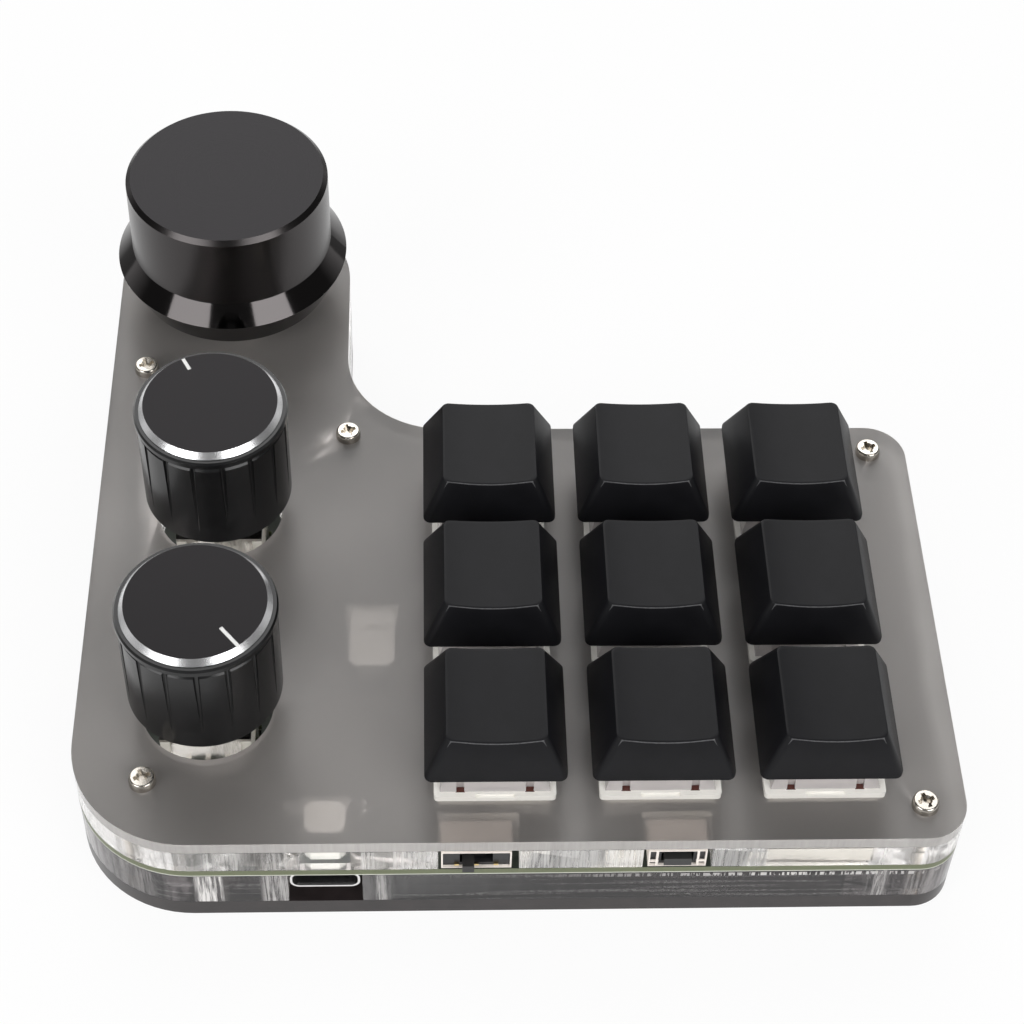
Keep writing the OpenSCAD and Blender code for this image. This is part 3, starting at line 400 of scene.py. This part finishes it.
def anodised(name, node):
    """Black anodised knob: satin turned top, darker by painted shade, bright cut bevel and
    skirt, smooth grip.
    """
    high = heights(node)[1]
    s = turned_metal(name, (0.023, 0.022, 0.023), middle(node), 0.3, rings=4.0, depth=0.04)
    normal = s.facing()
    upright = s.math("LESS_THAN", normal["Z"], SLOPE)
    # Painted shade: the flat top keeps a darker tone than the sloped and upright faces
    s.mask("Base Color", upright, (0.057, 0.053, 0.053))
    s.mask("Roughness", upright, 0.085)
    grip = s.math("LESS_THAN", s.math("ABSOLUTE", normal["Z"], 0), 0.2)
    s.mask("Roughness", grip, 0.27)
    rim = s.math("MULTIPLY", upright, s.between(high - 1.5, high + 1))
    s.mask("Roughness", rim, 0.24)
    return s


# Clip slots of the switch cover: axis, its number, and the slot's middle and half width
CLIP_SLOTS = (("X", 0, 4.4, 0.6), ("Y", 1, 6.2, 0.9))


def switch_white():
    """Cream-white housing, with painted shade in dark red-brown behind the clip slots of
    the cover.
    """
    s = moulded("switch_white", (0.97, 0.945, 0.89), 0.3, 0.05, spread=0.02)
    place = s.axes()
    masks = [s.math("GREATER_THAN", place["Z"], heights("switch_bases")[1] - 0.1)]
    for axis, centre, slot, half in CLIP_SLOTS:
        from_key = s.add("ShaderNodeMath", operation="WRAP")
        shifted = s.math("SUBTRACT", place[axis], middle("keycap_1")[centre])
        s.tree.links.new(shifted, from_key.inputs[0])
        from_key.inputs[1].default_value = KEY_PITCH / 2
        from_key.inputs[2].default_value = -KEY_PITCH / 2
        aside = s.math("SUBTRACT", s.math("ABSOLUTE", from_key.outputs[0], 0), slot)
        masks.append(s.math("LESS_THAN", s.math("ABSOLUTE", aside, 0), half))
    slots = s.math("MULTIPLY", masks[0], s.math("MULTIPLY", masks[1], masks[2]))
    # Painted shade: dark red-brown where the clip slots of the cover lie
    s.mask("Base Color", slots, (0.10, 0.028, 0.02))
    return s


def light_guide():
    """Milk-white diffuser with a dark band round its upper end."""
    s = moulded("led_white", (0.97, 0.97, 0.94), 0.3, spread=0.02)
    side = s.math("LESS_THAN", s.facing()["Z"], 0.5)
    low, high = heights("ambient_leds")
    dimple_floor = high - 0.31
    band = s.math("MULTIPLY", side, s.between(0.4 * low + 0.6 * high, dimple_floor))
    s.mask("Base Color", band, (0.12, 0.118, 0.115))
    return s


def knob_disc(name, centre, top):
    """Dark satin disc, bright cut ring on its slanted edge, white paint in the mark."""
    s = turned_metal(name, (0.0195, 0.0185, 0.0193), centre, 0.34, rings=6.0)
    normal = s.facing()
    slope = s.math("LESS_THAN", normal["Z"], SLOPE)
    sunk = s.math("LESS_THAN", s.axes()["Z"], top - 0.06)
    groove = s.math("MULTIPLY", sunk, s.math("GREATER_THAN", normal["Z"], SLOPE))
    s.mask("Base Color", slope, (0.86, 0.86, 0.87))
    s.mask("Roughness", slope, 0.27)
    s.mask("Base Color", groove, (0.85, 0.85, 0.83))
    s.mask("Roughness", groove, 0.5)
    s.tree.links.new(s.math("SUBTRACT", 1.0, groove), s.bsdf.inputs["Metallic"])
    return s


def dress_nodes():
    """A procedural material for every CAD node."""
    paint(frosted_acrylic("frosted_acrylic", *heights("top_plate")), "top_plate")
    paint(board("board_mask", *heights("circuit_board")), "circuit_board")
    base = moulded("base_black", (0.022, 0.017, 0.017), 0.3, 0.05)
    paint(base.set(Specular_IOR_Level=0.43), "base_plate")
    screws = ("top_screws", "bottom_screws", "big_knob_screw")
    paint(metal("screw_nickel", (0.64, 0.60, 0.54), 0.2), *screws)
    paint(metal("standoff_brass", (0.72, 0.60, 0.38), 0.25), "standoffs")
    paint(switch_white(), "switch_bases")
    cover = moulded("switch_clear", (0.97, 0.915, 0.90), 0.12, 0.05, spread=0.02)
    paint(cover.set(Transmission_Weight=0.5, IOR=1.55), "switch_covers")
    gold = metal("contact_gold", (0.85, 0.65, 0.32), 0.2)
    paint(gold, "switch_contacts", "slide_switch_pins")
    paint(metal("spring_steel", (0.70, 0.67, 0.58), 0.25), "switch_springs", "push_domes")
    stems = [f"switch_stem_{n}" for n in KEYS]
    paint(moulded("stem_plastic", (0.45, 0.08, 0.07), 0.3, 0.05), *stems)
    ivory = moulded("encoder_ivory", (0.72, 0.70, 0.64), 0.4, 0.05, spread=0.05)
    paint(ivory, "encoder_bases")
    bright = metal("encoder_metal", (0.90, 0.88, 0.84), 0.16, 0.02, 0.04)
    paint(bright, "encoder_covers", "encoder_terminals")
    rotors = [f"encoder_rotor_{n}" for n in (1, 2, 3)]
    paint(moulded("rotor_black", (0.03, 0.03, 0.03), 0.5), *rotors)
    shafts = [f"knob_shaft_{n}" for n in (1, 2, 3)]
    paint(metal("shaft_metal", (0.72, 0.72, 0.73), 0.25), *shafts)
    paint(anodised("anodised_black", "big_knob"), "big_knob")
    knob = moulded("knob_black", (0.007, 0.007, 0.0075), 0.24, 0.08)
    paint(knob.set(Specular_IOR_Level=0.37), "upper_knob_body", "lower_knob_body")
    for name in ("upper_knob_disc", "lower_knob_disc"):
        paint(knob_disc("disc_anodised_" + name, middle(name), heights(name)[1]), name)
    paint(metal("shell_steel", (0.84, 0.83, 0.82), 0.2), "usb_shell", "crystal")
    tin = metal("shell_tin", (0.99, 0.915, 0.85), 0.5, spread=0.03).set(Metallic=0.0)
    paint(tin, "slide_switch_shell", "push_switch_shell")
    buttons = ("slide_nub", "push_switch_button")
    paint(moulded("button_black", (0.018, 0.018, 0.018), 0.4), *buttons)
    bodies = ("usb_tongue", "slide_switch_body", "push_switch_body")
    chip = moulded("chip_black", (0.02, 0.02, 0.022), 0.45)
    paint(chip, "controller_chip", "diodes", *bodies)
    paint(light_guide(), "ambient_leds")
    paint(moulded("capacitor_tan", (0.62, 0.50, 0.37), 0.4), "capacitors")


# ---- Keycaps ------------------------------------------------------------------------

# Form of the keycap in millimetres, as in the CAD source
CAP_TOP_W, CAP_TOP_L, CAP_TOP_SHIFT = 12.6, 14.3, 0.5
CAP_CORNER, CAP_TOP_CORNER = 1.0, 1.0
CAP_HEM, CAP_WALL, CAP_ROOF = 0.8, 1.3, 1.4
CAP_DISH = 0.65
# Rounding of the upper edges, which the CAD solid leaves sharper
CAP_EDGE = 0.22
# Corners inside: the roof's is smaller than in the CAD solid and clears the switch cover
CAP_ROOF_CORNER, CAP_INNER_CORNER = 0.5, 0.7
# The socket that holds the switch's stem: radii, and how far above the foot it begins.
# Its bore is round here, where the CAD solid's follows the stem's cross
SOCKET_R, SOCKET_BORE, SOCKET_FOOT = 2.75, 2.05, 0.8
# Halvings that find where a side of the keycap meets the dish
DISH_STEPS = 30


def round_loop(w, l, r, arc=6, side=8):
    """Points of a round-cornered rectangle, the same number for any size."""
    points = []
    quarters = ((1, 1, 0), (-1, 1, 90), (-1, -1, 180), (1, -1, 270))
    for k, (sx, sy, start) in enumerate(quarters):
        cx, cy = sx * (w / 2 - r), sy * (l / 2 - r)
        for i in range(arc + 1):
            a = math.radians(start + 90 * i / arc)
            points.append((cx + r * math.cos(a), cy + r * math.sin(a)))
        nx, ny, turn = quarters[(k + 1) % 4]
        ax, ay = points[-1]
        a = math.radians(turn)
        bx = nx * (w / 2 - r) + r * math.cos(a)
        by = ny * (l / 2 - r) + r * math.sin(a)
        for i in range(1, side):
            t = i / side
            points.append((ax + (bx - ax) * t, ay + (by - ay) * t))
    return points


def cap_loops(width, height):
    """Closed rings of the keycap's skin, from the inner roof round to the dish's middle."""
    dish_r = ((CAP_TOP_W / 2) ** 2 + CAP_DISH**2) / (2 * CAP_DISH)

    def dish(x):
        return height - CAP_DISH + dish_r - math.sqrt(dish_r**2 - x * x)

    def ring(w, l, r, z, shift=0.0):
        return [(x, y - shift, z) for x, y in round_loop(w, l, r)]

    thin = 2 * CAP_WALL
    roof = height - CAP_DISH - CAP_ROOF
    foot = ring(width, width, CAP_CORNER, CAP_HEM)
    crown = ring(CAP_TOP_W, CAP_TOP_L, CAP_TOP_CORNER, height, CAP_TOP_SHIFT)
    centre = Vector((0, -CAP_TOP_SHIFT, 0))
    rim, below, inward = [], [], []
    for low, high in zip(foot, crown):
        a, b = 0.0, 1.0
        for _ in range(DISH_STEPS):
            t = (a + b) / 2
            p = [u + (v - u) * t for u, v in zip(low, high)]
            if p[2] < dish(min(abs(p[0]), dish_r)):
                a = t
            else:
                b = t
        p = Vector(p)
        down = (Vector(low) - p).normalized()
        out = Vector((p.x, p.y, 0)) - centre
        q = centre + out * (1 - CAP_EDGE / out.length)
        q.z = dish(q.x)
        rim.append(0.25 * (p + CAP_EDGE * down) + 0.5 * p + 0.25 * q)
        below.append(p + CAP_EDGE * down)
        inward.append(q)
    loops = [
        ring(CAP_TOP_W - 2, CAP_TOP_L - 2, CAP_ROOF_CORNER, roof, CAP_TOP_SHIFT),
        ring(width - thin, width - thin, CAP_INNER_CORNER, CAP_HEM),
        ring(width - thin, width - thin, CAP_INNER_CORNER, 0.1),
        ring(width - thin + 0.2, width - thin + 0.2, 0.8, 0),
        ring(width - 0.3, width - 0.3, CAP_CORNER - 0.1, 0),
        ring(width, width, CAP_CORNER, 0.15),
        foot,
        [tuple(Vector(f).lerp(b, 0.5)) for f, b in zip(foot, below)],
        below,
        rim,
        inward,
    ]
    for shrink in (0.97, 0.85, 0.68, 0.5, 0.32, 0.15):
        flat = [centre + (Vector((q.x, q.y, 0)) - centre) * shrink for q in inward]
        loops.append([(q.x, q.y, dish(q.x)) for q in flat])
    return loops


def skin(bm, loops, close_start=True, close_end=True):
    """Joins rings of equal length into a surface and closes its ends."""
    rings = [[bm.verts.new(Vector(p) * MM) for p in loop] for loop in loops]
    for lower, upper in zip(rings, rings[1:]):
        n = len(lower)
        for i in range(n):
            j = (i + 1) % n
            bm.faces.new((lower[i], lower[j], upper[j], upper[i]))
    if close_start:
        bm.faces.new(list(reversed(rings[0])))
    if close_end:
        bm.faces.new(rings[-1])


def circle_loop(r, z, n=32):
    turns = (2 * math.pi * i / n for i in range(n))
    return [(r * math.cos(a), r * math.sin(a), z) for a in turns]


def shade_smooth(mesh, angle=35):
    for face in mesh.polygons:
        face.use_smooth = True
    mesh.set_sharp_from_angle(angle=math.radians(angle))


def keycap_mesh(width, height):
    bm = bmesh.new()
    skin(bm, cap_loops(width, height))
    roof = height - CAP_DISH - CAP_ROOF + 0.05
    tube = [
        circle_loop(SOCKET_BORE, roof),
        circle_loop(SOCKET_BORE, SOCKET_FOOT),
        circle_loop(SOCKET_R, SOCKET_FOOT),
        circle_loop(SOCKET_R, roof),
    ]
    skin(bm, tube + [tube[0]], False, False)
    bmesh.ops.remove_doubles(bm, verts=bm.verts, dist=1e-7)
    bmesh.ops.recalc_face_normals(bm, faces=bm.faces)
    mesh = bpy.data.meshes.new("keycap")
    bm.to_mesh(mesh)
    bm.free()
    shade_smooth(mesh)
    return mesh


def keycap_plastic():
    """Black moulded plastic with a fine grain, and a painted highlight: a greyer line along
    the front edge of the top.
    """
    s = Shader("keycap_black").set(Specular_IOR_Level=0.2)
    grain = s.noise(9.0, 3, 0.6)
    broad = s.noise(0.25, 2)
    dark, light = (0.0050, 0.0050, 0.0062), (0.0070, 0.0070, 0.0086)
    s.link(s.ramp(broad, (0.3, dark), (0.7, light)), "Base Color")
    s.link(s.ramp(grain, (0.3, 0.42), (0.7, 0.52)), "Roughness")
    normal = s.facing()
    front = s.math("LESS_THAN", normal["Y"], -0.25)
    ahead = s.math("LESS_THAN", s.math("ABSOLUTE", normal["X"], 0), 0.3)
    front = s.math("MULTIPLY", front, ahead)
    # Painted highlight: greyer base colour on the front fillet of the top, broken up by
    # noise
    edge = s.math("MULTIPLY", front, s.math("GREATER_THAN", normal["Z"], 0.4))
    highlight_breakup = s.ramp(s.noise(1.6, 4, 0.7), (0.3, 0.5), (0.6, 1.0))
    painted_edge_highlight = s.math("MULTIPLY", edge, highlight_breakup)
    s.mask("Base Color", painted_edge_highlight, (0.11, 0.11, 0.114))
    s.link(s.bump(grain, 0.25, 0.015 * MM), "Normal")
    return s


def keycaps():
    low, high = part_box("keycap_1")
    mesh = keycap_mesh((high[0] - low[0]) / MM, (high[2] - low[2]) / MM)
    mesh.materials.append(keycap_plastic().mat)
    for n in KEYS:
        low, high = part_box(f"keycap_{n}")
        place = ((low[0] + high[0]) / 2, (low[1] + high[1]) / 2, low[2])
        obj = new_object(f"cap_{n}", mesh, place)
        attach(obj, f"key_{n}")
        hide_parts(f"keycap_{n}")


# ---- Clear layers -------------------------------------------------------------------

# Film of air above and below each clear sheet, in millimetres. It makes edges gather light
AIR_FILM = 0.02


def clear_sheets():
    """The two clear spacers, a hair thinner than their place."""
    finishes = {
        # Painted shade: the lower sheet is clear, and its dark tint stands in for the dark
        # case seen through it
        "lower_spacer": ((0.12, 0.10, 0.106), LOWER_MARKS, 0.3),
        "upper_spacer": ((0.945, 0.925, 0.908), UPPER_MARKS, 0.0),
    }
    for node, finish in finishes.items():
        low, high = heights(node)
        bm = bmesh.new()
        bm.from_mesh(NODES[node].data)
        bmesh.ops.remove_doubles(bm, verts=bm.verts, dist=1e-6)
        for vert in bm.verts:
            upper = vert.co.z > (low + high) / 2 * MM
            vert.co.z = (high - AIR_FILM if upper else low + AIR_FILM) * MM
        mesh = bpy.data.meshes.new(node + "_sheet")
        bm.to_mesh(mesh)
        bm.free()
        shade_smooth(mesh)
        mesh.materials.append(clear_acrylic(node + "_clear", low, high, *finish).mat)
        obj = new_object(node + "_sheet", mesh)
        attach(obj, "case")
        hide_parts(node)


# ---- Light, floor and camera --------------------------------------------------------


def background(fill=0.22, dome=0.1):
    """White to camera and transmitted rays and, near the horizon, to glossy ones."""
    world = bpy.data.worlds.new("studio")
    bpy.context.scene.world = world
    world.use_nodes = True
    tree = world.node_tree
    shade = tree.nodes["Background"]
    shade.inputs["Color"].default_value = (1, 1, 1, 1)
    path = tree.nodes.new("ShaderNodeLightPath")
    coords = tree.nodes.new("ShaderNodeTexCoord")
    split = tree.nodes.new("ShaderNodeSeparateXYZ")
    tree.links.new(coords.outputs["Generated"], split.inputs[0])
    horizon = map_range(tree, split.outputs["Z"], (0.0, 0.2), (1.0, dome))
    glossy = map_range(tree, path.outputs["Is Glossy Ray"], (0, 1), (fill, horizon))
    seen = tree.nodes.new("ShaderNodeMath")
    seen.operation = "MAXIMUM"
    tree.links.new(path.outputs["Is Camera Ray"], seen.inputs[0])
    tree.links.new(path.outputs["Is Transmission Ray"], seen.inputs[1])
    level = map_range(tree, seen.outputs[0], (0, 1), (glossy, 1.0))
    tree.links.new(level, shade.inputs["Strength"])


# How far the floor lies below the part in millimetres
FLOOR_GAP = 0.05


def floor(size=3.0, near=0.14, far=0.22, far_level=0.25):
    """Pale floor that stays white to the camera but keeps a soft shadow."""
    mesh = bpy.data.meshes.new("floor")
    half = size / 2
    corners = [(-half, -half, 0), (half, -half, 0), (half, half, 0), (-half, half, 0)]
    mesh.from_pydata(corners, [], [(0, 1, 2, 3)])
    obj = new_object("floor", mesh, (0, 0, -FLOOR_GAP * MM))
    s = Shader("floor").set(Base_Color=(0.9, 0.9, 0.9, 1), Roughness=0.8)
    path = s.add("ShaderNodeLightPath")
    coords = s.add("ShaderNodeTexCoord")
    reach = s.add("ShaderNodeVectorMath", {0: coords.outputs["Object"]}, operation="LENGTH")
    fade = map_range(s.tree, reach.outputs["Value"], (near, far), (1.0, far_level))
    level = map_range(s.tree, path.outputs["Is Glossy Ray"], (0, 1), (1.0, fade))
    glow = s.add("ShaderNodeEmission", {"Strength": level}, Color=(1, 1, 1, 1))
    rays = path.outputs
    seen = s.math("MAXIMUM", rays["Is Camera Ray"], rays["Is Transmission Ray"])
    share = map_range(s.tree, reach.outputs["Value"], (0.15, 0.6), (0.92, 1.0))
    share = s.math("MULTIPLY", seen, share)
    share = s.math("MAXIMUM", share, s.math("MULTIPLY", rays["Is Glossy Ray"], 0.95))
    links = {0: share, 1: s.bsdf.outputs[0], 2: glow.outputs[0]}
    s.surface(s.add("ShaderNodeMixShader", links).outputs[0])
    mesh.materials.append(s.mat)


def softbox(name, place, aim, size, power):
    data = bpy.data.lights.new(name, "AREA")
    data.shape = "RECTANGLE"
    data.size, data.size_y = size
    data.energy = power
    obj = new_object(name, data, place)
    direction = Vector(aim) - Vector(place)
    obj.rotation_euler = direction.to_track_quat("-Z", "Y").to_euler()


def lights():
    """A wide softbox above and behind, and one on each side of the camera."""
    target = (-0.02, 0.02, 0.03)
    softbox("key", (-0.05, 0.7, 0.7), target, (1.0, 0.6), 5.5)
    softbox("left", (-0.54, -0.52, 0.52), target, (0.56, 0.45), 3.6)
    softbox("right", (0.428, -0.54, 0.533), target, (0.51, 0.45), 3.4)


# The photograph's camera, solved from the keys and the case
PITCH, YAW, ROLL = (math.radians(a) for a in (49.828, 3.252, -2.261))
CAMERA_AT = Vector((-11.66, -216.69, 269.58)) * MM
FOCAL_PX, IMAGE_PX = 2373.0, 1024.0
SENSOR_MM = 36.0


def camera():
    cp, sp = math.cos(PITCH), math.sin(PITCH)
    forward = Vector((math.sin(YAW) * cp, math.cos(YAW) * cp, -sp))
    right = Vector((math.cos(YAW), -math.sin(YAW), 0))
    down = forward.cross(right)
    across = math.cos(ROLL) * right + math.sin(ROLL) * down
    below = -math.sin(ROLL) * right + math.cos(ROLL) * down
    data = bpy.data.cameras.new("photo_camera")
    data.sensor_width = SENSOR_MM
    data.lens = FOCAL_PX / IMAGE_PX * data.sensor_width
    obj = new_object("photo_camera", data)
    turn = Matrix((across, -below, -forward)).transposed()
    obj.matrix_world = Matrix.Translation(CAMERA_AT) @ turn.to_4x4()
    bpy.context.scene.camera = obj


dress_nodes()
keycaps()
clear_sheets()
background()
floor()
lights()
camera()
bpy.context.scene.view_settings.view_transform = "Standard"
# Light that is trapped in the clear sheets is reflected many times before it leaves
cycles = bpy.context.scene.cycles
cycles.max_bounces, cycles.glossy_bounces, cycles.transmission_bounces = 24, 20, 16

bpy.context.view_layer.update()
